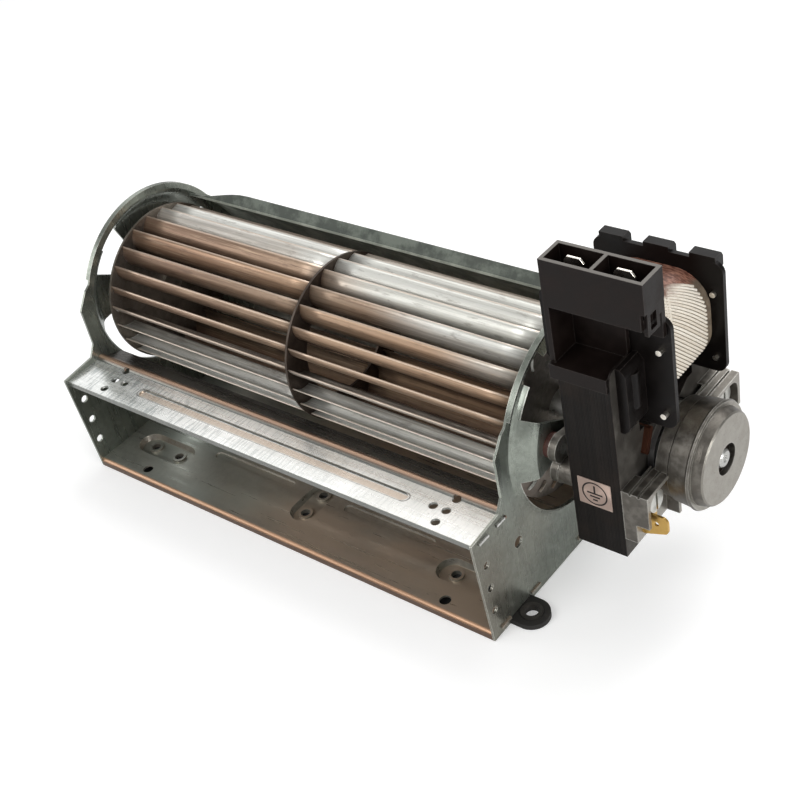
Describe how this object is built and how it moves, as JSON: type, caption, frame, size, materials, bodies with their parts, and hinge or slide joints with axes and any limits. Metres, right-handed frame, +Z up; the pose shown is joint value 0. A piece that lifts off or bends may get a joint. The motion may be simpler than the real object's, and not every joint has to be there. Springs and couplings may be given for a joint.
{
  "type": "tangential blower fan",
  "caption": "Tangential blower with a two-stage bladed impeller in a folded scroll housing, driven by a shaded-pole motor on its end plate.",
  "frame": {"origin": "centre of the middle mounting pad's underside on the base sheet", "axes": "+X along the impeller towards the motor, +Y to the back, +Z up from the mounting plane"},
  "size_m": [0.2495, 0.1042, 0.129],
  "materials": {
    "galvanised_sheet": "satin",
    "shelf_sheet": "satin",
    "plate_sheet": "satin",
    "impeller_sheet": "satin",
    "blade_sheet": "satin",
    "turned_steel": "satin",
    "black_steel": "matt",
    "sintered_bronze": "matt",
    "black_rubber": "matt",
    "spring_steel": "satin",
    "rotor_steel": "satin",
    "cast_aluminium": "matt",
    "lamination_steel": "satin",
    "copper": "satin",
    "bobbin_plastic": "satin",
    "coil_tape": "matt",
    "tinned_metal": "satin",
    "terminal_plastic": "satin",
    "die_cast": "satin",
    "plated_steel": "satin",
    "brass_sheet": "satin",
    "label_film": "satin",
    "brown_rubber": "matt",
    "foot_rubber": "matt",
    "foot_ring": "matt"
  },
  "bodies": {
    "housing": {"scroll_housing": "galvanised_sheet", "outlet_shelf": "shelf_sheet", "left_end_plate": "plate_sheet", "right_end_plate": "plate_sheet", "left_bearing_bush": "sintered_bronze", "left_bearing_grommet": "black_rubber", "stator_core": "lamination_steel", "core_bridge": "lamination_steel", "shading_rings": "copper", "coil_bobbin": "bobbin_plastic", "coil_winding": "coil_tape", "coil_pins": "tinned_metal", "terminal_housing": "terminal_plastic", "front_spade_terminals": "tinned_metal", "inner_bearing_bracket": "die_cast", "outer_bearing_bracket": "die_cast", "inner_bearing_bush": "sintered_bronze", "outer_bearing_bush": "sintered_bronze", "bearing_clips": "spring_steel", "motor_screws": "plated_steel", "earth_tab": "brass_sheet", "earth_plate": "label_film", "motor_mount_bushes": "brown_rubber", "motor_mount_screws": "plated_steel", "mounting_foot": "foot_rubber", "foot_grommet": "foot_ring", "foot_rivet": "plated_steel"},
    "impeller": {"impeller_left_disc": "impeller_sheet", "impeller_middle_ring": "impeller_sheet", "impeller_right_disc": "impeller_sheet", "impeller_left_blades": "blade_sheet", "impeller_right_blades": "blade_sheet", "left_stub_axle": "turned_steel", "impeller_hub": "turned_steel", "hub_grub_screw": "black_steel", "left_bearing_retainer": "spring_steel", "motor_shaft": "turned_steel", "rotor_core": "rotor_steel", "rotor_end_rings": "cast_aluminium"}
  },
  "joints": [
    {"name": "impeller_spin", "type": "hinge", "parent": "housing", "child": "impeller", "pos_m": [0, 0.0334, 0.0535], "axis": [1, 0, 0], "continuous": true}
  ]
}
